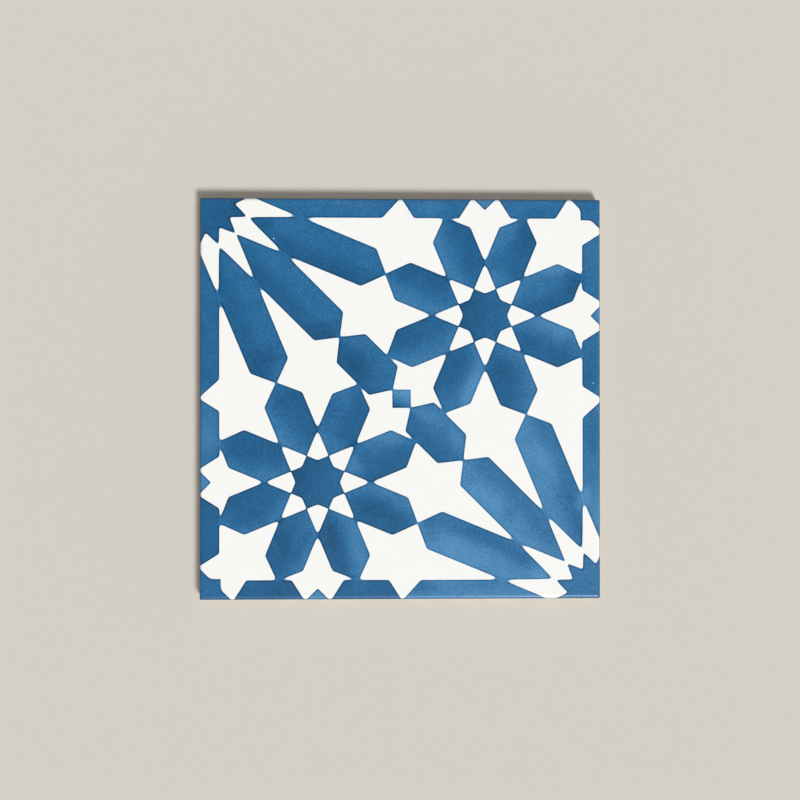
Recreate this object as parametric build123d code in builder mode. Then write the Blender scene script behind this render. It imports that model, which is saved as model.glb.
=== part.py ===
"""Square porcelain tile: flat glazed face, rounded arris, drafted edges and a keyed back."""

import os
from math import radians, tan

from build123d import *

# Driving dimensions, in millimetres and degrees
tile_side = 200.0  # across the upright land, the widest part of the tile
tile_thickness = 8.5
arris_radius = 1.8  # round between the glazed face and the edge
land_height = 1.2  # upright band under the arris
edge_draft = 1.5  # lean of the edge from the land in to the back
back_bevel = 0.8  # small bevel round the back
corner_radius = 0.8  # the four upright corners

# The keys pressed into the back
key_count = 6  # pockets along each side
key_depth = 0.7
key_rib = 4.0  # land between two pockets
key_margin = 7.0  # land from the outer pockets to the bevel
key_corner = 2.5
key_draft = 30.0  # lean of the pocket walls

# Derived sizes
half_side = tile_side / 2
land_top = tile_thickness - arris_radius
land_foot = land_top - land_height
bevel_half = half_side - (land_foot - back_bevel) * tan(radians(edge_draft))
back_half = bevel_half - back_bevel
face_half = half_side - arris_radius
key_pitch = (2 * (back_half - key_margin) + key_rib) / key_count
key_side = key_pitch - key_rib

# The pressed section, the same along both sides of the tile
with BuildSketch() as section:
    with BuildLine() as section_line:
        Polyline(
            (0, 0),
            (back_half, 0),
            (bevel_half, back_bevel),
            (half_side, land_foot),
            (half_side, land_top),
        )
        TangentArc((half_side, land_top), (face_half, tile_thickness), tangent=(0, 1))
        Line((face_half, tile_thickness), (0, tile_thickness))
        mirror(about=Plane.YZ)
    make_face()

with BuildPart() as porcelain_tile:
    # The plan with its eased corners
    with BuildSketch(Plane.XY) as plan:
        RectangleRounded(tile_side, tile_side, corner_radius)
    extrude(amount=tile_thickness)
    # The section cut along both sides, so the arris meets itself in a mitre at each corner
    for section_plane in (Plane.XZ, Plane.YZ):
        with BuildSketch(section_plane) as side_section:
            add(section.sketch)
        extrude(amount=tile_side, both=True, mode=Mode.INTERSECT)
    # The keyed back: shallow pockets with a lattice of ribs between them
    with BuildSketch(Plane.XY) as keys:
        with GridLocations(key_pitch, key_pitch, key_count, key_count):
            RectangleRounded(key_side, key_side, key_corner)
    extrude(amount=key_depth, taper=key_draft, mode=Mode.SUBTRACT)

porcelain_tile.part.label = "porcelain_tile"
os.makedirs("parts", exist_ok=True)
export_step(porcelain_tile.part, "parts/porcelain_tile.step")
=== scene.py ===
"""Patterned porcelain tile: one pressed and fired piece with a blue star print on a satin glaze."""

import logging
import math
from dataclasses import dataclass, field
from enum import Enum
from typing import Union

import bpy
from bpy.types import Material, Node, NodeSocket, NodeTree, Object
from mathutils import Euler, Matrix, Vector


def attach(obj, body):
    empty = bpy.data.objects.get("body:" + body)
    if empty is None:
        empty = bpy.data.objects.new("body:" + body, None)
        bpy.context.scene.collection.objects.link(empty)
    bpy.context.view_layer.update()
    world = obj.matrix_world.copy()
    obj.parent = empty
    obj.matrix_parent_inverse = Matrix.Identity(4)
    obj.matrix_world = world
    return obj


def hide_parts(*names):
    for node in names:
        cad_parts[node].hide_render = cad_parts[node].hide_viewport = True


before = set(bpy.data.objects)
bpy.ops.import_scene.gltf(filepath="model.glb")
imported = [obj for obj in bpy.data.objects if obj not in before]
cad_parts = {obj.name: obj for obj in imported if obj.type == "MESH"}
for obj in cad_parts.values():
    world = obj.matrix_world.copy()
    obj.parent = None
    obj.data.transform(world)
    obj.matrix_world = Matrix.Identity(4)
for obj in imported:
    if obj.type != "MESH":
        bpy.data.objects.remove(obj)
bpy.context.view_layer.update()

MM = 0.001
ROOT_TWO = math.sqrt(2.0)
# Parts of a full turn, in degrees
EIGHTH = 45.0
SIXTEENTH = 22.5
NOISE_MIDDLE = 0.5
NOISE_SHEET_STEP = (7.3, 11.9, 3.7)
# The Mix node's colour sockets share their names with its other sockets, so they go by number
MIX_COLOURS = (6, 7)
MIX_RESULT = 2
LOG = logging.getLogger("tile")

# A point is a place in plan, and a span is where a soft change starts and ends
Pair = tuple[float, float]
Point = Pair
Span = Pair
Triple = tuple[float, float, float]
Colour = Triple
Tint = Union[Colour, NodeSocket]


class Op(Enum):
    """Operations of the Math node that the print and the finishes use."""

    ADD = "ADD"
    SUBTRACT = "SUBTRACT"
    MULTIPLY = "MULTIPLY"
    MULTIPLY_ADD = "MULTIPLY_ADD"
    ABSOLUTE = "ABSOLUTE"
    SQUARE_ROOT = "SQRT"
    SIGN = "SIGN"
    FLOOR = "FLOOR"
    COSINE = "COSINE"
    SINE = "SINE"
    ANGLE = "ARCTAN2"
    MINIMUM = "MINIMUM"
    MAXIMUM = "MAXIMUM"
    SMOOTH_MINIMUM = "SMOOTH_MIN"
    SMOOTH_MAXIMUM = "SMOOTH_MAX"


class Mixing(Enum):
    """How one colour lies on another."""

    COVER = "MIX"
    DARKEN = "MULTIPLY"


class Side(Enum):
    """The four edges of the tile, as outward directions in plan."""

    RIGHT = (1.0, 0.0)
    UPPER = (0.0, 1.0)
    LEFT = (-1.0, 0.0)
    LOWER = (0.0, -1.0)

    def facing(self, normal: Vector) -> float:
        """How squarely a face with this normal looks out of the edge."""
        return normal.x * self.value[0] + normal.y * self.value[1]


Number = Union["Field", float]
Feed = Union["Field", NodeSocket, float, tuple[float, ...]]
Inputs = dict[Union[str, int], Feed]


def feed(tree: NodeTree, slot: NodeSocket, value: Feed) -> None:
    """Links a field or an output to an input, or sets the input to a plain value.

    Args:
        tree: The node tree that they belong to.
        slot: The input.
        value: A field, an output, a number, a colour or a vector.
    """
    source = value.socket if isinstance(value, Field) else value
    if isinstance(source, NodeSocket):
        tree.links.new(source, slot)
    else:
        slot.default_value = source


def set_node(tree: NodeTree, kind: str, inputs: Inputs, **settings: str) -> Node:
    """Adds a node and feeds its inputs.

    Args:
        tree: The node tree.
        kind: The kind of node.
        inputs: What each input gets, by its name or number.
        settings: The node's own settings.

    Returns:
        The node.
    """
    node = tree.nodes.new(kind)
    for name, setting in settings.items():
        setattr(node, name, setting)
    for name, value in inputs.items():
        feed(tree, node.inputs[name], value)
    return node


@dataclass(frozen=True)
class Field:
    """A number that changes over the surface, held as the output of a shader node."""

    tree: NodeTree
    socket: NodeSocket

    def apply(self, op: Op, *others: Number) -> "Field":
        """Works out a new field from this one with one Math node.

        Args:
            op: The operation.
            others: The other inputs, fields or plain numbers.

        Returns:
            The field that the node puts out.
        """
        inputs = dict(enumerate((self, *others)))
        node = set_node(self.tree, "ShaderNodeMath", inputs, operation=op.value)
        return Field(self.tree, node.outputs["Value"])

    def __add__(self, other: Number) -> "Field":
        """Sum with a field or number."""
        return self.apply(Op.ADD, other)

    def __sub__(self, other: Number) -> "Field":
        """Difference from a field or number."""
        return self.apply(Op.SUBTRACT, other)

    def __mul__(self, other: Number) -> "Field":
        """Product with a field or number."""
        return self.apply(Op.MULTIPLY, other)

    def __abs__(self) -> "Field":
        """Size without the sign."""
        return self.apply(Op.ABSOLUTE)

    def line(self, slope: float, offset: Number) -> "Field":
        """This field times a slope plus an offset."""
        return self.apply(Op.MULTIPLY_ADD, slope, offset)

    def low(self, other: Number, ease: float = 0.0) -> "Field":
        """The lower of two fields, eased where they are nearer to each other than the ease."""
        return self.apply(Op.SMOOTH_MINIMUM, other, ease) if ease else self.apply(Op.MINIMUM, other)

    def high(self, other: Number, ease: float = 0.0) -> "Field":
        """The higher of two fields, eased where they are nearer to each other than the ease."""
        return self.apply(Op.SMOOTH_MAXIMUM, other, ease) if ease else self.apply(Op.MAXIMUM, other)

    def blunt(self, radius: float) -> "Field":
        """Size without the sign, with the fold at zero rounded off."""
        return self.apply(Op.MULTIPLY_ADD, self, radius * radius).apply(Op.SQUARE_ROOT)

    def ramp(self, start: float, end: float) -> "Field":
        """A smooth step from 0 at start to 1 at end.

        Args:
            start: Value of this field where the step begins.
            end: Value of this field where it ends.

        Returns:
            The step as a field from 0 to 1.
        """
        inputs = {"Value": self, "From Min": start, "From Max": end}
        node = set_node(self.tree, "ShaderNodeMapRange", inputs, interpolation_type="SMOOTHSTEP")
        return Field(self.tree, node.outputs["Result"])

    def inside(self, soft: float = 0.6) -> "Field":
        """1 where this distance is negative, 0 outside, with a soft change at zero."""
        return self.ramp(soft, -soft)

    def toward(self, other: Number, share: "Field") -> "Field":
        """This field, led over to another one by a share from 0 to 1."""
        gap = other - self if isinstance(other, Field) else self.line(-1.0, other)
        return share.apply(Op.MULTIPLY_ADD, gap, self)

    def reach(self, other: "Field") -> "Field":
        """Length of the vector that has this field and another one as its sides."""
        return self.apply(Op.MULTIPLY_ADD, self, other * other).apply(Op.SQUARE_ROOT)


@dataclass(frozen=True)
class Plan:
    """The place of a surface point in plan, in millimetres from the middle of the print."""

    x: Field
    y: Field

    def along(self, degrees: float, origin: Point = (0.0, 0.0)) -> Field:
        """Distance from an origin along a direction.

        Args:
            degrees: The direction, turned from +X towards +Y.
            origin: The point to measure from.

        Returns:
            The signed distance.
        """
        c, s = math.cos(math.radians(degrees)), math.sin(math.radians(degrees))
        start = c * origin[0] + s * origin[1]
        return self.y.line(s, self.x.line(c, -start))


@dataclass(frozen=True)
class Shapes:
    """Distances outside the shapes of the print in millimetres, negative inside a shape.

    The seams are no shapes of their own: they are 1 where two petals or rays run together, 0 elsewhere.
    """

    petals: Field
    petal_seams: Field
    star: Field
    rays: Field
    ray_seams: Field
    corner_star: Field
    bars: Field
    notches: Field
    lozenges: Field
    square: Field
    plain_star: Field
    pinholes: Field


@dataclass(frozen=True)
class Necks:
    """How far two inked shapes run together where their points meet, in millimetres."""

    petals: float = 3.5
    star: float = 1.3
    rays: float = 1.0
    ray_ends: float = 1.6
    bars: float = 3.4
    lozenges: float = 2.6
    square: float = 2.3
    plain_star: float = 0.9
    star_hollows: float = 1.2
    hollows: float = 2.1


@dataclass(frozen=True)
class StarPrint:
    """The print: eight-fold rosettes and sixteen-fold corner rosettes, drawn with straight lines.

    Every line of a rosette lies at the same distance from its centre. Sizes are in
    millimetres from the middle of the print, which repeats by mirror images. The print
    lies a shift to the right of the tile's middle, leans and is squeezed a little in its height,
    and its shapes grow a little smaller towards the lower right.
    """

    # How the print lies on the tile
    shift: float = 0.31
    lean: float = 0.0014
    squeeze: float = 1.0044
    thinning: float = 0.0007
    # The repeat and the eight-fold rosettes
    repeat: float = 100.8
    rosette: float = 41.8
    line: float = 10.13
    petal_tip: float = 53.1
    petal_slant: float = 47.1
    longer_petals: float = 0.85
    tip_change: Span = (-0.1, 0.1)
    # The long petals and the star of a corner rosette
    ray_line: float = 10.08
    ray_tips: Triple = (100.4, 100.7, 99.0)
    ray_slants: Triple = (47.7, 47.2, 52.4)
    ray_blunts: Triple = (0.8, 0.84, 0.40)
    ray_plugs: Pair = (0.70, 0.66)
    star_blunts: Triple = (1.2, 0.69, 0.70)
    # The bars and notches along the edges
    bar_offset: float = 24.2
    bar_tip: float = 17.65
    bar_shoulder: float = 11.25
    notch_reach: float = 6.05
    notch_blunt: float = 0.25
    # The middle, its lozenges and the stars in the plain corners
    middle_half: float = 4.52
    lozenge_tip: float = 43.6
    lozenge_shoulder: float = 35.55
    plain_star_points: float = 16.5
    plain_star_half: float = 10.85
    # How corners round off and shapes run together
    shoulder_ease: float = 1.3
    necks: Necks = Necks()
    seam_edges: Span = (2.4, 0.4)
    seam_fade: float = 0.6
    # The pinholes that the glaze left in the ink
    pinholes: tuple[Point, Point] = ((-63.5, 80.0), (96.1, 7.9))
    pinhole_radii: Pair = (0.30, 0.26)

    @property
    def bar_slant(self) -> float:
        """Angle of the ends of the bars to their axis, in degrees."""
        return math.degrees(math.atan2(self.line, self.bar_tip - self.bar_shoulder))

    def end(self, along: Field, across: Field, tip: Number, degrees: float) -> Field:
        """Distance outside a shape's slanted end, which meets its axis at the tip, at an angle in degrees."""
        c, s = math.cos(math.radians(degrees)), math.sin(math.radians(degrees))
        return across.line(c, (along - tip) * s)

    def petal(self, along: Field, across: Field, tip: Field) -> Field:
        """Distance outside one petal of an eight-fold rosette.

        Args:
            along: Distance along the petal's axis.
            across: Distance from the axis.
            tip: Where the petal ends.

        Returns:
            The signed distance, negative inside.
        """
        root = (across - along).line(1 / ROOT_TWO, self.line)
        sides = (across - self.line).high(root, self.shoulder_ease)
        return sides.high(self.end(along, across, tip, self.petal_slant), self.shoulder_ease)

    def rosette_shapes(self, plan: Plan) -> tuple[Field, Field, Field]:
        """Distances outside the petals and the star of an eight-fold rosette.

        Args:
            plan: The folded place.

        Returns:
            The petals, their seams and the star.
        """
        centre = (self.rosette, self.rosette)
        lines = [abs(plan.along(SIXTEENTH + EIGHTH * k, centre)) for k in range(4)]
        (wide, slim), (wide_too, slim_too) = (
            (lines[k].high(lines[k + 2]), lines[k].low(lines[k + 2])) for k in range(2)
        )
        above = plan.along(90.0, centre).ramp(*self.tip_change)
        beside = plan.along(EIGHTH, centre).ramp(*reversed(self.tip_change))
        tip = (above * beside).line(self.longer_petals, self.petal_tip)
        first, second = self.petal(wide, slim, tip), self.petal(wide_too, slim_too, tip)
        petals = first.low(second, self.necks.petals)
        star = wide.low(wide_too, self.necks.star_hollows) - self.line
        return petals, self.seam(first, second, petals), star

    def corner_shapes(self, plan: Plan) -> tuple[Field, Field, Field]:
        """Distances outside the long petals and the star of a sixteen-fold corner rosette.

        Args:
            plan: The folded place.

        Returns:
            The long petals, here called rays, their seams and the star.
        """
        centre = (-self.repeat, self.repeat)
        foot = math.cos(math.radians(90.0 - SIXTEENTH))
        root, ray_root = self.line / foot, self.ray_line / foot
        rays: list[Field] = []
        points: list[Field] = []
        for k in range(3):
            along = plan.along(-SIXTEENTH * k, centre)
            across = plan.along(-SIXTEENTH * k - 90.0, centre)
            inner = self.end(along * -1.0, across.blunt(self.ray_blunts[k]), -ray_root, SIXTEENTH)
            sides = (abs(across) - self.ray_line).high(inner, self.shoulder_ease)
            outer = self.end(along, abs(across), self.ray_tips[k], self.ray_slants[k])
            rays.append(sides.high(outer, self.shoulder_ease))
            points.append(self.end(along, across.blunt(self.star_blunts[k]), root, SIXTEENTH))
        joined, star = rays[0], points[0]
        for k in (1, 2):
            plug = (rays[k - 1] + rays[k]).line(0.5, -self.ray_plugs[k - 1])
            joined = joined.low(rays[k]).low(plug, self.necks.rays)
            star = star.low(points[k], self.necks.hollows)
        seams = self.seam(rays[0], rays[1], joined).high(self.seam(rays[1], rays[2], joined))
        return joined, seams, star

    def bar_shapes(self, plan: Plan) -> tuple[Field, Field]:
        """Distances outside the shapes along an edge.

        Args:
            plan: The folded place.

        Returns:
            The two bars and the small notch between them.
        """
        out = abs(plan.x - self.rosette)
        down = abs(plan.y - self.repeat)
        end = self.end(abs(out - self.bar_offset), down, self.bar_tip, self.bar_slant)
        notch = (out.blunt(self.notch_blunt) + down).line(1 / ROOT_TWO, -self.notch_reach / ROOT_TWO)
        return (down - self.line).high(end, self.shoulder_ease), notch

    def lozenge_shapes(self, rise: Field, fall: Field) -> Field:
        """Distance outside the lozenges on either side of the middle.

        Args:
            rise: Distance along the diagonal that carries the lozenges.
            fall: Distance from that diagonal.

        Returns:
            The signed distance, negative inside.
        """
        outer_slant = math.degrees(math.atan2(self.line, self.lozenge_tip - self.lozenge_shoulder))
        outer = self.end(rise, fall, self.lozenge_tip, outer_slant)
        inner = self.end(rise * -1.0, fall, -self.middle_half * ROOT_TWO, self.bar_slant)
        return (fall - self.line).high(outer, self.shoulder_ease).high(inner, self.shoulder_ease)

    def plain_corner_shapes(self, plan: Plan) -> Field:
        """Distance outside the eight-pointed star in the corner behind a rosette.

        Args:
            plan: The folded place.

        Returns:
            The signed distance, negative inside.
        """
        out = abs(plan.x - self.repeat)
        down = abs(plan.y - self.repeat)
        diamond = (out + down).line(1 / ROOT_TWO, -self.plain_star_points / ROOT_TWO)
        return diamond.low(out.high(down) - self.plain_star_half, self.necks.hollows)

    def pinhole_shapes(self, plan: Plan) -> Field:
        """Distance outside the two pinholes that the glaze left in the ink.

        Args:
            plan: The place on the tile.

        Returns:
            The signed distance, negative inside.
        """
        first, second = (
            (plan.x - x).reach(plan.y - y) - radius
            for (x, y), radius in zip(self.pinholes, self.pinhole_radii)
        )
        return first.low(second)

    def draw(self, plan: Plan) -> Shapes:
        """Draws every shape of the print.

        Args:
            plan: The place on the tile.

        Returns:
            The distances outside the shapes.
        """
        fall = abs((plan.x + plan.y) * (1 / ROOT_TWO))
        rise = abs((plan.y - plan.x) * (1 / ROOT_TWO))
        folded = Plan((fall - rise) * (1 / ROOT_TWO), (fall + rise) * (1 / ROOT_TWO))
        return Shapes(
            *self.rosette_shapes(folded),
            *self.corner_shapes(folded),
            *self.bar_shapes(folded),
            lozenges=self.lozenge_shapes(rise, fall),
            square=folded.y - self.middle_half,
            plain_star=self.plain_corner_shapes(folded),
            pinholes=self.pinhole_shapes(plan),
        )

    def seam(self, first: Field, second: Field, joined: Field) -> Field:
        """1 along the seam of two shapes, falling to 0 on either side of it and outside their joined ink."""
        return abs(first - second).ramp(*self.seam_edges) * joined.ramp(self.seam_fade, 0.0)

    def join(self, shapes: Shapes) -> tuple[Field, Field]:
        """Runs the shapes together at their points, as the ink does.

        Args:
            shapes: The shapes of the print.

        Returns:
            The distance outside the ink in millimetres, negative in the ink, and the seams
            where rays or unlike shapes run together.
        """
        inked = shapes.petals.low(shapes.star, self.necks.star)
        seams = shapes.ray_seams
        for shape, ease in (
            (shapes.rays, self.necks.ray_ends),
            (shapes.bars.low(shapes.notches, self.necks.bars), self.necks.bars),
            (shapes.lozenges, self.necks.lozenges),
            (shapes.square, self.necks.square),
            (shapes.plain_star, self.necks.plain_star),
        ):
            joined = inked.low(shape, ease)
            seams = seams.high(self.seam(inked, shape, joined))
            inked = joined
        return inked.low(shapes.corner_star), seams


@dataclass(frozen=True)
class Noise:
    """A noise over the surface: the size of a feature in millimetres, and how its finer layers lie.

    The stretch is a factor on the size along X, Y and Z. The sheet picks one of many unlike noises.
    """

    size: float
    detail: float = 2.0
    rough: float = 0.5
    stretch: Triple = (1.0, 1.0, 1.0)
    sheet: float = 0.0


@dataclass(frozen=True)
class InkFinish:
    """The blue ink: how its colour runs from deep to pale, and how it lies.

    Depths and rises are steps of paleness. Edges are distances outside the ink in millimetres.
    """

    deep: Colour = (0.0006, 0.050, 0.130)
    middle: Colour = (0.014, 0.131, 0.306)
    pale: Colour = (0.086, 0.280, 0.515)
    middle_place: float = 0.386
    deepest: float = -0.15
    palest: float = 1.20
    roughness: float = 0.33
    clouds: Noise = Noise(11.0, 6.0, 0.66)
    cloud_depth: float = 0.46
    streaks: Noise = Noise(0.9, 1.0, 0.5, (1.0, 22.0, 1.0), sheet=2.0)
    streak_depth: float = 0.08
    grain: Noise = Noise(0.8, 2.0, 0.6, sheet=3.0)
    grain_depth: float = 0.62
    grain_rise: float = 0.80
    wobble: Noise = Noise(1.4)
    wobble_depth: float = 0.16
    outline_edges: Span = (0.20, 0.0)
    rim_edges: Span = (-0.85, -0.40)
    rim_depth: float = 0.40
    lip_edges: Span = (-0.22, 0.22)
    lip_rise: float = 1.05
    pinhole_edges: Span = (0.45, 0.0)
    pinhole_rise: float = 0.95


@dataclass(frozen=True)
class WashPatch:
    """A soft patch in the wash, in millimetres: a pale place with less ink, or a deep pool if its rise is
    negative.
    """

    place: Point
    reach: Pair
    degrees: float
    rise: float


@dataclass(frozen=True)
class Wash:
    """How pale the ink is in each kind of shape, from 0 for deep to 1 for pale.

    Edges are in millimetres and slopes for each millimetre. What is called paler is added over
    the lower right half of the tile.
    """

    bars: float = 0.36
    bar_slopes: Pair = (0.0006, 0.0009)
    notch: float = 0.84
    plain_star: float = 0.40
    star: float = 0.23
    star_slope: float = 0.012
    corner_star: float = 0.19
    petal_deep: float = 0.24
    petal_rise: float = 0.44
    petal_edges: Span = (-5.0, 10.5)
    petal_root: float = 0.13
    petal_root_edges: Span = (26.0, 16.0)
    petal_end: float = 0.08
    petal_end_edges: Span = (44.0, 52.0)
    ray_deep: float = 0.23
    ray_rise: float = 0.20
    ray_edges: Span = (-6.0, 2.5)
    ray_seam_rise: float = 0.5
    lozenge_deep: float = 0.15
    lozenge_rise: float = 0.29
    lozenge_edges: Span = (-7.5, 5.5)
    square: float = 0.84
    square_slope: float = 0.14
    square_turn: float = 63.0
    edge_ray: float = 0.34
    flat_edge_ray: float = 0.07
    edge_soft: float = 0.4
    diagonal_change: Span = (-0.5, 0.5)
    paler_rays: float = 0.29
    paler_rise: float = 0.20
    paler_edge: float = 0.27
    paler_flat_edge: float = 0.17
    paler_lozenge: float = 0.16
    paler_star: float = 0.34
    petal_seam: float = 0.20
    seam: float = 0.08
    patch_warp: float = 7.0
    patch_warp_detail: float = 3.0
    patch_edges: Span = (0.0, 0.9)
    patches: tuple[WashPatch, ...] = (
        # Upper right rosette
        WashPatch((78.0, 35.5), (15.0, 7.0), -22.0, 0.26),
        WashPatch((77.0, 65.0), (13.0, 6.0), 22.0, 0.26),
        WashPatch((73.0, 54.0), (12.0, 6.0), 22.0, 0.12),
        WashPatch((87.0, 59.0), (13.0, 8.0), 75.0, -0.13),
        WashPatch((36.0, 6.0), (20.0, 7.0), 66.0, 0.34),
        WashPatch((57.0, 14.0), (12.0, 11.0), 0.0, -0.13),
        WashPatch((61.0, -4.0), (9.0, 7.0), 0.0, 0.16),
        WashPatch((22.0, -1.0), (9.0, 6.0), 20.0, 0.16),
        WashPatch((62.0, 82.0), (14.0, 8.0), 90.0, -0.14),
        WashPatch((53.0, 60.0), (9.0, 7.0), 0.0, 0.20),
        WashPatch((46.0, 67.0), (10.0, 6.0), 66.0, -0.20),
        # Bars along the top and the sides
        WashPatch((13.0, 96.0), (11.0, 6.0), 0.0, 0.10),
        WashPatch((-27.0, 97.0), (24.0, 8.0), 0.0, 0.09),
        WashPatch((72.0, 93.0), (15.0, 6.0), 0.0, -0.12),
        WashPatch((96.0, 16.0), (16.0, 8.0), 90.0, -0.14),
        WashPatch((-97.0, -18.0), (30.0, 12.0), 90.0, 0.38),
        # Lower right lozenge, rays and the long petals cut by the edge
        WashPatch((13.0, -8.0), (14.0, 5.0), -27.0, 0.20),
        WashPatch((27.0, -19.0), (12.0, 5.0), -62.0, 0.22),
        WashPatch((74.0, -29.0), (20.0, 8.0), -66.0, 0.20),
        WashPatch((69.0, -19.0), (11.0, 8.0), -66.0, -0.13),
        WashPatch((85.0, -61.0), (28.0, 8.0), -66.0, -0.38),
        WashPatch((35.0, -38.0), (9.0, 7.0), 0.0, -0.11),
        WashPatch((43.0, -51.0), (20.0, 6.0), -45.0, 0.20),
        WashPatch((54.0, -56.0), (9.0, 6.0), -45.0, -0.18),
        WashPatch((69.0, -69.0), (17.0, 6.0), -52.0, -0.24),
        WashPatch((27.0, -76.0), (22.0, 8.0), -25.0, 0.20),
        WashPatch((14.0, -66.0), (11.0, 9.0), 60.0, -0.28),
        WashPatch((40.0, -69.0), (26.0, 6.0), -19.0, -0.17),
        WashPatch((60.0, -82.0), (18.0, 8.0), -25.0, -0.22),
        WashPatch((70.0, -87.0), (10.0, 6.0), -45.0, 0.34),
        WashPatch((92.0, -50.0), (9.0, 6.0), 90.0, 0.45),
        WashPatch((96.0, -18.0), (18.0, 8.0), 90.0, -0.22),
        WashPatch((99.0, -58.0), (12.0, 7.0), 90.0, 0.28),
        WashPatch((12.0, -94.0), (12.0, 6.0), 0.0, -0.32),
        WashPatch((45.0, -93.0), (24.0, 5.0), 0.0, -0.18),
        # Lower left rosette
        WashPatch((-82.0, -30.0), (18.0, 11.0), -20.0, -0.22),
        WashPatch((-72.0, -60.0), (20.0, 8.0), 20.0, -0.26),
        WashPatch((-58.0, -78.0), (16.0, 10.0), 90.0, -0.16),
        WashPatch((-48.0, -72.0), (14.0, 6.0), 66.0, -0.20),
        WashPatch((-34.0, -66.0), (16.0, 8.0), 105.0, -0.22),
        WashPatch((-22.0, -80.0), (22.0, 7.0), 95.0, 0.24),
        WashPatch((-12.0, -54.0), (20.0, 9.0), -22.0, -0.17),
        WashPatch((-22.0, -25.0), (10.0, 7.0), 20.0, -0.24),
        WashPatch((-20.0, -35.0), (12.0, 6.0), 0.0, 0.22),
        WashPatch((-6.0, -20.0), (13.0, 6.0), -10.0, 0.22),
        WashPatch((-36.0, -6.0), (18.0, 8.0), 66.0, -0.30),
        WashPatch((-30.0, -23.0), (9.0, 6.0), 0.0, 0.20),
        WashPatch((-62.0, -3.0), (16.0, 8.0), 112.0, -0.22),
        # Upper left rays and lozenge
        WashPatch((-67.0, 21.0), (14.0, 11.0), 90.0, -0.20),
        WashPatch((-37.0, 35.0), (15.0, 7.0), 0.0, -0.16),
        WashPatch((-33.0, 63.0), (26.0, 5.0), -19.0, -0.10),
        WashPatch((-67.0, 87.0), (12.0, 7.0), -30.0, -0.17),
        WashPatch((-20.0, 20.0), (12.0, 10.0), -45.0, -0.12),
        WashPatch((-11.0, 6.0), (11.0, 6.0), 0.0, 0.20),
    )


@dataclass(frozen=True)
class GlazeFinish:
    """The off-white satin glaze under the print, with its lines in millimetres above the back, and the
    painted shade that darkens its lower arris.
    """

    colour: Colour = (0.938, 0.936, 0.912)
    # Painted shade: this colour darkens the glaze and ink on the lower arris, where the edge turns into shade
    edge_shade_colour: Colour = (0.46, 0.45, 0.44)
    mottle: Noise = Noise(7.0, 6.0, 0.75)
    mottle_edges: Span = (0.3, 0.7)
    mottle_depth: float = 0.022
    roughness: float = 0.30
    sheen: Noise = Noise(9.0)
    sheen_depth: float = 0.06
    refraction: float = 1.5
    gloss: float = 0.5
    peel: Noise = Noise(2.6)
    peel_height: float = 0.004
    drip: Noise = Noise(3.5, stretch=(1.0, 1.0, 6.0))
    drip_depth: float = 1.6
    ink_line: Span = (6.9, 7.4)
    # The heights and the glaze line between which the lower arris gets its painted shade
    edge_shade_heights: Span = (8.2, 7.8)
    edge_shade_line: Span = (7.1, 7.6)
    lower_line: Span = (6.35, 6.65)


@dataclass(frozen=True)
class BodyFinish:
    """The fired body that shows bare on the edges and the back, and the kiln wash on its ribs."""

    colour: Colour = (0.64, 0.59, 0.52)
    fired_colour: Colour = (0.56, 0.495, 0.415)
    speck_colour: Colour = (0.40, 0.35, 0.29)
    wash_colour: Colour = (0.80, 0.78, 0.745)
    tone: Noise = Noise(17.0, 5.0, 0.6, sheet=4.0)
    tone_edges: Span = (0.36, 0.68)
    specks: Noise = Noise(0.55, 2.0, 0.6)
    speck_edges: Span = (0.62, 0.72)
    worn: Noise = Noise(6.0, 5.0, 0.65, sheet=5.0)
    worn_edges: Span = (0.38, 0.58)
    wash_heights: Span = (0.10, 0.03)
    wash_cover: float = 0.85
    roughness: float = 0.88
    grain: Noise = Noise(0.55, 3.0, 0.6)
    grain_height: float = 0.03


@dataclass(frozen=True)
class PressedSection:
    """The section of the pressed tile, from its back to its glazed face, in millimetres."""

    side: float = 200.0
    thickness: float = 8.5
    arris_radius: float = 1.8
    land_height: float = 1.2
    edge_draft: float = 1.5
    back_bevel: float = 0.8
    corner_radius: float = 0.8
    arris_steps: int = 10
    corner_steps: int = 5
    face_border: float = 0.8

    @property
    def back_half(self) -> float:
        """Half the width of the back inside its bevel."""
        return self.bevel_half - self.back_bevel

    @property
    def bevel_half(self) -> float:
        """Half the width at the top of the back's bevel."""
        rise = self.thickness - self.arris_radius - self.land_height - self.back_bevel
        return self.side / 2 - rise * math.tan(math.radians(self.edge_draft))

    def rings(self) -> list[Pair]:
        """Half width and height of each ring that the edge rises through.

        Returns:
            The rings from the back's outline to the border of the flat face.
        """
        half = self.side / 2
        land_top = self.thickness - self.arris_radius
        rings = [
            (self.back_half, 0.0),
            (self.bevel_half, self.back_bevel),
            (half, land_top - self.land_height),
            (half, land_top),
        ]
        for step in range(1, self.arris_steps + 1):
            turn = math.pi / 2 * step / self.arris_steps
            inset = self.arris_radius * (1 - math.cos(turn))
            rings.append((half - inset, land_top + self.arris_radius * math.sin(turn)))
        rings.append((half - self.arris_radius - self.face_border, self.thickness))
        return rings


@dataclass(frozen=True)
class KeyedBack:
    """The pockets pressed into the back, in millimetres."""

    count: int = 6
    depth: float = 0.7
    rib: float = 4.0
    margin: float = 7.0
    corner: float = 2.5
    draft: float = 30.0
    corner_steps: int = 6
    overlap: float = 0.5

    def pitch(self, back_half: float) -> float:
        """Distance from one pocket to the next for a back of this half width."""
        return (2 * (back_half - self.margin) + self.rib) / self.count

    def rings(self, back_half: float) -> list[Pair]:
        """Half width and height of each ring of one pocket's block.

        Args:
            back_half: Half the width of the back.

        Returns:
            The rings from a little below the back up to the pocket's floor.
        """
        half = (self.pitch(back_half) - self.rib) / 2
        drawn_in = self.depth * math.tan(math.radians(self.draft))
        return [(half, -self.overlap), (half, 0.0), (half - drawn_in, self.depth)]


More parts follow.
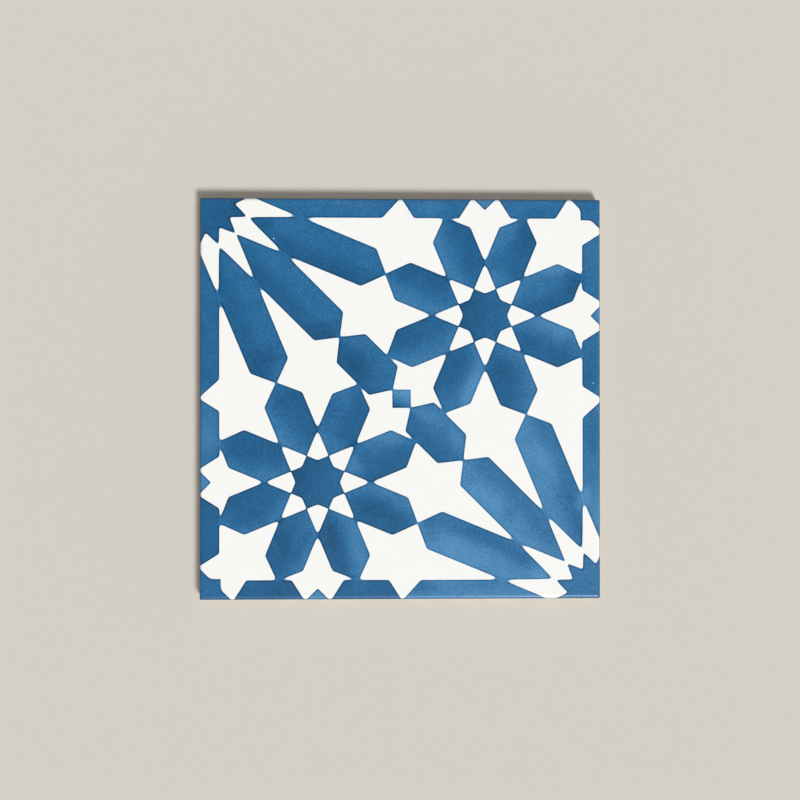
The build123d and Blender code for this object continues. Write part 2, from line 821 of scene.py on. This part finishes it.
@dataclass(frozen=True)
class BakeSheet:
    """Where the tile's faces lie on its texture sheet, as shares of the sheet.

    A face whose normal rises above the upward limit is printed, one below the downward limit
    belongs to the back, and the rest are the four edges, each in a strip of its own.
    """

    map_name: str = "OFBake"
    face_start: float = 0.01
    face_size: float = 0.80
    back_start: Point = (0.825, 0.01)
    back_size: float = 0.165
    strip_start: float = 0.825
    strip_pitch: float = 0.032
    strip_height: float = 0.026
    upward: float = 0.35
    downward: float = -0.2

    def place(self, normal: Vector, point: Vector, section: PressedSection) -> Point:
        """Place on the sheet of one corner of a face.

        Args:
            normal: The face's normal.
            point: The corner, in metres.
            section: The section of the tile.

        Returns:
            The place.
        """
        side = section.side * MM
        across, up = point.x / side + 0.5, point.y / side + 0.5
        if normal.z > self.upward:
            return self.face_start + across * self.face_size, self.face_start + up * self.face_size
        if normal.z < self.downward:
            left, foot = self.back_start
            return left + (1.0 - across) * self.back_size, foot + up * self.back_size
        strip, edge = max(enumerate(Side), key=lambda pair: pair[1].facing(normal))
        out_x, out_y = edge.value
        run = (point.y * out_x - point.x * out_y) / side + 0.5
        rise = point.z / (section.thickness * MM) * self.strip_height
        return self.face_start + run * self.face_size, self.strip_start + strip * self.strip_pitch + rise


def raise_rings(rings: list[Pair], corner: float, steps: int, centre: Point = (0.0, 0.0)) -> Object:
    """Raises a square outline with eased corners ring by ring into a closed body.

    Args:
        rings: Half width and height of each ring from the lowest one, in millimetres.
        corner: Radius of the lowest ring's corners, in millimetres.
        steps: Number of steps round a corner.
        centre: Middle of the outline, in millimetres.

    Returns:
        The body.
    """
    half, height = rings[0]
    x, y = (value * MM for value in centre)
    bpy.ops.object.select_all(action="DESELECT")
    bpy.ops.mesh.primitive_plane_add(size=2 * half * MM, location=(x, y, height * MM))
    body = bpy.context.active_object
    bpy.ops.object.mode_set(mode="EDIT")
    bpy.ops.mesh.select_all(action="SELECT")
    bpy.ops.mesh.bevel(offset=corner * MM, segments=steps, affect="VERTICES")
    for next_half, next_height in rings[1:]:
        lift = (0, 0, (next_height - height) * MM)
        bpy.ops.mesh.extrude_region_move(TRANSFORM_OT_translate={"value": lift})
        grow = next_half / half
        bpy.ops.transform.resize(value=(grow, grow, 1), center_override=(x, y, next_height * MM))
        half, height = next_half, next_height
    bpy.ops.mesh.select_all(action="SELECT")
    bpy.ops.mesh.normals_make_consistent(inside=False)
    bpy.ops.object.mode_set(mode="OBJECT")
    return body


@dataclass
class PrintedTile:
    """The tile: one pressed and fired piece with a printed face."""

    section: PressedSection = field(default_factory=PressedSection)
    keys: KeyedBack = field(default_factory=KeyedBack)
    sheet: BakeSheet = field(default_factory=BakeSheet)
    motif: StarPrint = field(default_factory=StarPrint)
    ink: InkFinish = field(default_factory=InkFinish)
    wash: Wash = field(default_factory=Wash)
    glaze: GlazeFinish = field(default_factory=GlazeFinish)
    body: BodyFinish = field(default_factory=BodyFinish)
    name: str = "printed_tile"
    smooth_angle: float = 30.0

    def build(self) -> Object:
        """Models the tile and gives it its finish.

        Returns:
            The finished object.
        """
        tile = self.press()
        self.key(tile)
        self.lay_out(tile)
        tile.data.materials.append(self.dress())
        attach(tile, "root")
        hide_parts("porcelain_tile")
        return tile

    def press(self) -> Object:
        """Raises the back's outline through the section to the face.

        Returns:
            The closed body, still with a plain back.
        """
        section = self.section
        tile = raise_rings(section.rings(), section.corner_radius, section.corner_steps)
        tile.name = tile.data.name = self.name
        return tile

    def cutter(self) -> Object:
        """Models one drafted pocket and repeats it over the back.

        Returns:
            The pockets as closed blocks that reach a little below the back.
        """
        keys, back_half = self.keys, self.section.back_half
        pitch = keys.pitch(back_half)
        first = -pitch * (keys.count - 1) / 2
        cutter = raise_rings(keys.rings(back_half), keys.corner, keys.corner_steps, (first, first))
        for step in ((pitch * MM, 0, 0), (0, pitch * MM, 0)):
            row = cutter.modifiers.new("row", "ARRAY")
            row.count = keys.count
            row.use_relative_offset = False
            row.use_constant_offset = True
            row.constant_offset_displace = step
            bpy.ops.object.modifier_apply(modifier=row.name)
        return cutter

    def key(self, tile: Object) -> None:
        """Cuts the pockets into the back and smooths the rounded edges.

        Args:
            tile: The pressed body.
        """
        cutter = self.cutter()
        bpy.ops.object.select_all(action="DESELECT")
        tile.select_set(True)
        bpy.context.view_layer.objects.active = tile
        cut = tile.modifiers.new("keys", "BOOLEAN")
        cut.operation = "DIFFERENCE"
        cut.solver = "EXACT"
        cut.object = cutter
        bpy.ops.object.modifier_apply(modifier=cut.name)
        bpy.data.meshes.remove(cutter.data)
        bpy.ops.object.transform_apply(location=True, rotation=True, scale=True)
        bpy.ops.object.shade_smooth_by_angle(angle=math.radians(self.smooth_angle))

    def lay_out(self, tile: Object) -> None:
        """Lays the faces out on the texture sheet, with most of it for the printed face.

        Args:
            tile: The modelled tile.
        """
        mesh = tile.data
        for layer in list(mesh.uv_layers):
            mesh.uv_layers.remove(layer)
        places = mesh.uv_layers.new(name=self.sheet.map_name).data
        for face in mesh.polygons:
            for loop in face.loop_indices:
                point = mesh.vertices[mesh.loops[loop].vertex_index].co
                places[loop].uv = self.sheet.place(face.normal, point, self.section)

    def dress(self) -> Material:
        """Makes the material: the print on the glaze, and the bare body below the glaze line.

        Returns:
            The material.
        """
        material = bpy.data.materials.new("printed_porcelain")
        material.use_nodes = True
        FinishBench(material.node_tree, self).lay()
        return material


@dataclass
class FinishBench:
    """Lays the tile's finish out as shader nodes."""

    tree: NodeTree
    tile: PrintedTile
    shader: Node = field(init=False)
    place: NodeSocket = field(init=False)
    plan: Plan = field(init=False)
    height: Field = field(init=False)

    def __post_init__(self) -> None:
        """Reads the place of a surface point in millimetres."""
        self.shader = self.tree.nodes["Principled BSDF"]
        where = self.node("ShaderNodeTexCoord", {}).outputs["Object"]
        scale = self.node("ShaderNodeVectorMath", {0: where, "Scale": 1 / MM}, operation="SCALE")
        self.place = scale.outputs[0]
        split = self.node("ShaderNodeSeparateXYZ", {0: self.place})
        x, y, self.height = (Field(self.tree, output) for output in split.outputs)
        motif = self.tile.motif
        self.plan = Plan(y.line(motif.lean, x - motif.shift), y * motif.squeeze)

    def node(self, kind: str, inputs: Inputs, **settings: str) -> Node:
        """Adds a node to the material and feeds its inputs."""
        return set_node(self.tree, kind, inputs, **settings)

    def noise(self, noise: Noise) -> Field:
        """Lays a noise over the surface.

        Args:
            noise: Its size and layers.

        Returns:
            The noise, from about 0 to 1.
        """
        inputs = {
            "Vector": self.place,
            "Location": tuple(step * noise.sheet for step in NOISE_SHEET_STEP),
            "Scale": tuple(1 / (noise.size * factor) for factor in noise.stretch),
        }
        place = self.node("ShaderNodeMapping", inputs).outputs["Vector"]
        inputs = {"Vector": place, "Scale": 1.0, "Detail": noise.detail, "Roughness": noise.rough}
        return Field(self.tree, self.node("ShaderNodeTexNoise", inputs).outputs["Fac"])

    def unevenness(self, noise: Noise) -> Field:
        """A noise with its middle at 0."""
        return self.noise(noise) - NOISE_MIDDLE

    def blend(self, amount: Field, first: Tint, second: Tint, mixing: Mixing = Mixing.COVER) -> NodeSocket:
        """Mixes two colours.

        Args:
            amount: Share of the second colour.
            first: A colour or a colour socket.
            second: A colour or a colour socket.
            mixing: How the second colour lies on the first.

        Returns:
            The mixed colour.
        """
        tints = (
            tint if isinstance(tint, NodeSocket) else (*tint, 1.0) for tint in (first, second)
        )
        inputs = {"Factor": amount, **dict(zip(MIX_COLOURS, tints))}
        node = self.node("ShaderNodeMix", inputs, data_type="RGBA", blend_type=mixing.value)
        return node.outputs[MIX_RESULT]

    def warp(self, reach: float, detail: float) -> NodeSocket:
        """The place of a surface point, moved about by a noise so that soft patches get ragged outlines.

        Args:
            reach: How far the noise ranges, in millimetres.
            detail: Number of the noise's finer layers.

        Returns:
            The moved place.
        """
        inputs = {"Vector": self.place, "Scale": 1 / reach, "Detail": detail}
        noise = self.node("ShaderNodeTexNoise", inputs).outputs["Color"]
        inputs = {0: noise, 1: (NOISE_MIDDLE, NOISE_MIDDLE, NOISE_MIDDLE)}
        uneven = self.node("ShaderNodeVectorMath", inputs, operation="SUBTRACT").outputs[0]
        inputs = {0: uneven, 1: (reach, reach, reach), 2: self.place}
        return self.node("ShaderNodeVectorMath", inputs, operation="MULTIPLY_ADD").outputs[0]

    def soft_patch(self, patch: WashPatch, place: NodeSocket) -> Field:
        """1 in the middle of a soft patch, falling to 0 at its reach.

        Args:
            patch: The patch.
            place: The place of a surface point in millimetres.

        Returns:
            The strength of the patch.
        """
        inputs = {
            "Vector": place,
            "Location": (*patch.place, 0.0),
            "Rotation": (0.0, 0.0, math.radians(patch.degrees)),
            "Scale": (*patch.reach, 1 / MM),
        }
        inputs = {"Vector": self.node("ShaderNodeMapping", inputs, vector_type="TEXTURE").outputs["Vector"]}
        ball = self.node("ShaderNodeTexGradient", inputs, gradient_type="SPHERICAL")
        return Field(self.tree, ball.outputs["Fac"]).ramp(*self.tile.wash.patch_edges)

    def from_rosette(self) -> Plan:
        """The place measured from the middle of the nearer eight-fold rosette."""
        half = (self.plan.x + self.plan.y).apply(Op.SIGN) * self.tile.motif.rosette
        return Plan(self.plan.x - half, self.plan.y - half)

    def petal_wash(self, near: Plan) -> Field:
        """Paleness of the rosette petals: each is paler on its left as seen from its rosette.

        Args:
            near: The place measured from the rosette.

        Returns:
            The paleness.
        """
        wash, off, up = self.tile.wash, near.x, near.y
        part = math.radians(EIGHTH)
        axis = up.apply(Op.ANGLE, off).line(1 / part, 0.0).apply(Op.FLOOR).line(part, part / 2)
        cosine, sine = axis.apply(Op.COSINE), axis.apply(Op.SINE)
        along = off.apply(Op.MULTIPLY_ADD, cosine, up * sine)
        across = up * cosine - off * sine
        pale = across.ramp(*wash.petal_edges).line(wash.petal_rise, wash.petal_deep)
        pale = along.ramp(*wash.petal_root_edges).line(wash.petal_root, pale)
        return along.ramp(*wash.petal_end_edges).line(wash.petal_end, pale)

    def ray_wash(self, lower: Field, seams: Field) -> Field:
        """Paleness of the corner rays: each is paler on its left as seen from its corner.

        Args:
            lower: 1 over the lower right half of the tile, 0 over the rest.
            seams: 1 where two rays run together, 0 elsewhere.

        Returns:
            The paleness.
        """
        wash, motif = self.tile.wash, self.tile.motif
        half = lower.line(-2.0, 1.0)
        off, up = self.plan.x + half * motif.repeat, self.plan.y - half * motif.repeat
        part = math.radians(SIXTEENTH)
        axis = up.apply(Op.ANGLE, off).line(1 / part, 0.5).apply(Op.FLOOR) * part
        across = up * axis.apply(Op.COSINE) - off * axis.apply(Op.SINE)
        rise = across.ramp(*wash.ray_edges).toward(wash.ray_seam_rise, seams)
        pale = rise.line(wash.ray_rise, wash.ray_deep)
        pale = lower.apply(Op.MULTIPLY_ADD, rise.line(wash.paler_rise, wash.paler_rays), pale)
        out_x, out_y = abs(self.plan.x), abs(self.plan.y)
        flat = (out_y - out_x).ramp(*wash.diagonal_change)
        edge = flat.line(wash.flat_edge_ray, wash.edge_ray)
        edge = lower.apply(Op.MULTIPLY_ADD, flat.line(wash.paler_flat_edge, wash.paler_edge), edge)
        bars = motif.repeat - motif.line
        at_edge = out_x.high(out_y).ramp(bars - wash.edge_soft, bars + wash.edge_soft)
        return pale.toward(edge, at_edge)

    def lozenge_wash(self, lower: Field) -> Field:
        """Paleness of the lozenges: both are paler to the upper right, and more so in the lower half."""
        wash, rise = self.tile.wash, self.plan.along(EIGHTH).ramp(*self.tile.wash.lozenge_edges)
        return lower.line(wash.paler_lozenge, rise.line(wash.lozenge_rise, wash.lozenge_deep))

    def shape_wash(self, shapes: Shapes) -> Field:
        """Paleness of the ink in each kind of shape, before its clouds and patches.

        Args:
            shapes: The shapes of the print.

        Returns:
            The paleness.
        """
        wash = self.tile.wash
        lower = (self.plan.x - self.plan.y).ramp(*wash.diagonal_change)
        near = self.from_rosette()
        slope_x, slope_y = wash.bar_slopes
        pale = self.plan.x.line(slope_x, self.plan.y.line(slope_y, wash.bars))
        for shape, own in (
            (shapes.plain_star, wash.plain_star),
            (shapes.notches, wash.notch),
            (shapes.petals, self.petal_wash(near)),
            (shapes.rays, self.ray_wash(lower, shapes.ray_seams)),
            (shapes.lozenges, self.lozenge_wash(lower)),
            (shapes.square, self.plan.along(wash.square_turn).line(wash.square_slope, wash.square)),
            (shapes.star, near.x.line(wash.star_slope, wash.star)),
            (shapes.corner_star, lower.line(wash.paler_star, wash.corner_star)),
        ):
            pale = pale.toward(own, shape.inside())
        return pale

    def paleness(self, shapes: Shapes, outside: Field, seams: Field) -> Field:
        """How pale the ink is at each place.

        Args:
            shapes: The shapes of the print.
            outside: Distance outside the ink.
            seams: 1 where rays or unlike shapes run together, 0 elsewhere.

        Returns:
            The paleness, from about 0 to 1.
        """
        ink, wash = self.tile.ink, self.tile.wash
        pale = self.unevenness(ink.clouds).line(ink.cloud_depth, self.shape_wash(shapes))
        pale = self.unevenness(ink.streaks).line(ink.streak_depth, pale)
        grain = self.unevenness(ink.grain)
        pale = grain.apply(Op.MULTIPLY_ADD, pale.line(ink.grain_rise, ink.grain_depth), pale)
        place = self.warp(wash.patch_warp, wash.patch_warp_detail)
        for patch in wash.patches:
            pale = self.soft_patch(patch, place).line(patch.rise, pale)
        pale = seams.line(wash.seam, shapes.petal_seams.line(wash.petal_seam, pale))
        pale = outside.ramp(*ink.rim_edges).toward(0.0, seams).line(-ink.rim_depth, pale)
        pale = shapes.pinholes.ramp(*ink.pinhole_edges).line(ink.pinhole_rise, pale)
        return outside.ramp(*ink.lip_edges).line(ink.lip_rise, pale)

    def blue(self, pale: Field) -> NodeSocket:
        """Colour of the ink for its paleness.

        Args:
            pale: The paleness.

        Returns:
            The colour.
        """
        ink = self.tile.ink
        span = ink.palest - ink.deepest
        ramp = self.node("ShaderNodeValToRGB", {"Fac": pale.line(1 / span, -ink.deepest / span)})
        stops = ramp.color_ramp.elements
        stops[0].color = (*ink.deep, 1.0)
        stops[1].color = (*ink.pale, 1.0)
        stops.new(ink.middle_place).color = (*ink.middle, 1.0)
        return ramp.outputs["Color"]

    def glaze_colour(self, inked: Field, blue: NodeSocket, line: Field) -> NodeSocket:
        """Colour of the printed glaze, which ends in a bare bead, with painted shade darkening the lower
        arris.

        Args:
            inked: 1 in the ink, 0 outside it.
            blue: Colour of the ink.
            line: Height above the back, made uneven as the glaze ran.

        Returns:
            The colour.
        """
        glaze = self.tile.glaze
        mottle = self.noise(glaze.mottle).ramp(*glaze.mottle_edges)
        duller = tuple(value - glaze.mottle_depth for value in glaze.colour)
        printed = self.blend(inked, self.blend(mottle, glaze.colour, duller), blue)
        skin = self.blend(line.ramp(*glaze.ink_line), glaze.colour, printed)
        # Painted shade darkens the lower arris, where the edge turns into shade
        edge_shade = self.height.ramp(*glaze.edge_shade_heights) * line.ramp(*glaze.edge_shade_line)
        return self.blend(edge_shade, skin, glaze.edge_shade_colour, Mixing.DARKEN)

    def body_colour(self) -> NodeSocket:
        """Colour of the bare body, with its specks and the worn kiln wash on its ribs.

        Returns:
            The colour.
        """
        body = self.tile.body
        tone = self.noise(body.tone).ramp(*body.tone_edges)
        bare = self.blend(tone, body.colour, body.fired_colour)
        specks = self.noise(body.specks).ramp(*body.speck_edges)
        bare = self.blend(specks, bare, body.speck_colour)
        worn = self.noise(body.worn).ramp(*body.worn_edges) * self.height.ramp(*body.wash_heights)
        return self.blend(worn * body.wash_cover, bare, body.wash_colour)

    def roughness(self, inked: Field, glazed: Field) -> Field:
        """Roughness of the ink, the satin glaze and the bare body.

        Args:
            inked: 1 in the ink, 0 outside it.
            glazed: 1 on the glaze, 0 on the bare body.

        Returns:
            The roughness.
        """
        ink, glaze, body = self.tile.ink, self.tile.glaze, self.tile.body
        satin = inked.line(ink.roughness - glaze.roughness, glaze.roughness)
        satin = self.unevenness(glaze.sheen).line(glaze.sheen_depth, satin)
        return satin.toward(body.roughness, glazed.line(-1.0, 1.0))

    def relief(self, glazed: Field) -> NodeSocket:
        """The faint peel of the glaze and the grain of the bare body.

        Args:
            glazed: 1 on the glaze, 0 on the bare body.

        Returns:
            The normal of the uneven surface.
        """
        glaze, body = self.tile.glaze, self.tile.body
        peel = self.noise(glaze.peel) * glaze.peel_height
        grain = self.noise(body.grain) * body.grain_height
        inputs = {"Height": grain.toward(peel, glazed), "Distance": MM, "Strength": 1.0}
        return self.node("ShaderNodeBump", inputs).outputs["Normal"]

    def lay(self) -> None:
        """Joins print, glaze and body and feeds the shader."""
        motif, ink, glaze = self.tile.motif, self.tile.ink, self.tile.glaze
        shapes = motif.draw(self.plan)
        outside, seams = motif.join(shapes)
        outside = self.plan.along(-EIGHTH).line(motif.thinning, outside)
        edge = self.unevenness(ink.wobble).line(ink.wobble_depth, outside.high(shapes.pinholes * -1.0))
        inked = edge.ramp(*ink.outline_edges)
        blue = self.blue(self.paleness(shapes, outside, seams))
        line = self.noise(glaze.drip).line(glaze.drip_depth, self.height)
        glazed = line.ramp(*glaze.lower_line)
        skin = self.glaze_colour(inked, blue, line)
        for name, value in {
            "Base Color": self.blend(glazed, self.body_colour(), skin),
            "Roughness": self.roughness(inked, glazed),
            "Normal": self.relief(glazed),
            "IOR": glaze.refraction,
            "Specular IOR Level": glaze.gloss,
        }.items():
            feed(self.tree, self.shader.inputs[name], value)


@dataclass(frozen=True)
class Studio:
    """A plain pale floor, one soft lamp, even fill and a camera that looks straight down.

    The room's stops say how bright the light from all round is at each height, from 0 at the
    horizon, where it is as pale as the floor, to 1 straight overhead, where the camera hangs.
    """

    floor_colour: Colour = (0.640, 0.606, 0.549)
    floor_size: float = 200.0
    floor_roughness: float = 0.9
    room: tuple[tuple[float, Colour], ...] = (
        (0.03, (0.652, 0.624, 0.565)),
        (0.20, (0.40, 0.40, 0.40)),
        (0.86, (0.40, 0.40, 0.40)),
        (0.96, (0.10, 0.10, 0.10)),
    )
    lamp_strength: float = 2.76
    lamp_width: float = 17.0
    lamp_elevation: float = 51.0
    lamp_azimuth: float = -62.0
    lens: float = 67.5
    sensor: float = 36.0
    nearest: float = 0.01
    camera_place: Triple = (-0.0282, -0.0060, 0.7559)
    camera_turn: Triple = (0.41, -2.125, 0.013)

    def lay_floor(self) -> Object:
        """Lays the floor under the tile.

        Returns:
            The floor.
        """
        bpy.ops.object.select_all(action="DESELECT")
        bpy.ops.mesh.primitive_plane_add(size=self.floor_size, location=(0, 0, 0))
        floor = bpy.context.active_object
        floor.name = "floor"
        paint = bpy.data.materials.new("pale_floor")
        paint.use_nodes = True
        shader = paint.node_tree.nodes["Principled BSDF"]
        shader.inputs["Base Color"].default_value = (*self.floor_colour, 1.0)
        shader.inputs["Roughness"].default_value = self.floor_roughness
        shader.inputs["Specular IOR Level"].default_value = 0.0
        floor.data.materials.append(paint)
        return floor

    def hang_lamp(self) -> Object:
        """Hangs the soft lamp to the lower right of the tile.

        Returns:
            The lamp.
        """
        lamp_data = bpy.data.lights.new("soft_lamp", "SUN")
        lamp_data.angle = math.radians(self.lamp_width)
        lamp_data.energy = self.lamp_strength
        lamp = bpy.data.objects.new("soft_lamp", lamp_data)
        up, turn = math.radians(self.lamp_elevation), math.radians(self.lamp_azimuth)
        towards = Vector((math.cos(up) * math.cos(turn), math.cos(up) * math.sin(turn), math.sin(up)))
        lamp.location = towards
        lamp.rotation_euler = towards.to_track_quat("Z", "Y").to_euler()
        bpy.context.scene.collection.objects.link(lamp)
        return lamp

    def fill_room(self) -> None:
        """Sets the even light from all round."""
        world = bpy.data.worlds.new("studio")
        world.use_nodes = True
        tree = world.node_tree
        direction = set_node(tree, "ShaderNodeTexCoord", {}).outputs["Generated"]
        height = set_node(tree, "ShaderNodeSeparateXYZ", {0: direction}).outputs["Z"]
        shade = set_node(tree, "ShaderNodeValToRGB", {"Fac": height})
        shade.color_ramp.interpolation = "EASE"
        stops = shade.color_ramp.elements
        stops.remove(stops[0])
        stops[0].position, stops[0].color = self.room[-1][0], (*self.room[-1][1], 1.0)
        for stop, colour in self.room[:-1]:
            stops.new(stop).color = (*colour, 1.0)
        feed(tree, tree.nodes["Background"].inputs["Color"], shade.outputs["Color"])
        bpy.context.scene.world = world

    def set_camera(self) -> Object:
        """Sets the camera over the tile.

        Returns:
            The camera.
        """
        camera_data = bpy.data.cameras.new("camera")
        camera_data.lens = self.lens
        camera_data.sensor_width = self.sensor
        camera_data.clip_start = self.nearest
        camera = bpy.data.objects.new("camera", camera_data)
        camera.location = self.camera_place
        camera.rotation_euler = Euler([math.radians(angle) for angle in self.camera_turn])
        bpy.context.scene.collection.objects.link(camera)
        bpy.context.scene.camera = camera
        return camera


def triangles(piece: Object) -> int:
    """Counts a mesh piece's triangles."""
    return sum(len(face.vertices) - 2 for face in piece.data.polygons)


def main() -> None:
    """Builds the tile and its studio and reports each piece."""
    logging.basicConfig(level=logging.INFO, format="%(name)s: %(message)s")
    bpy.context.scene.view_settings.view_transform = "Standard"
    tile = PrintedTile().build()
    LOG.info("%s: %d triangles, %s", tile.name, triangles(tile), [round(v, 4) for v in tile.dimensions])
    studio = Studio()
    LOG.info("%s laid", studio.lay_floor().name)
    LOG.info("%s hung", studio.hang_lamp().name)
    studio.fill_room()
    LOG.info("%s set", studio.set_camera().name)


if __name__ == "__main__":
    main()
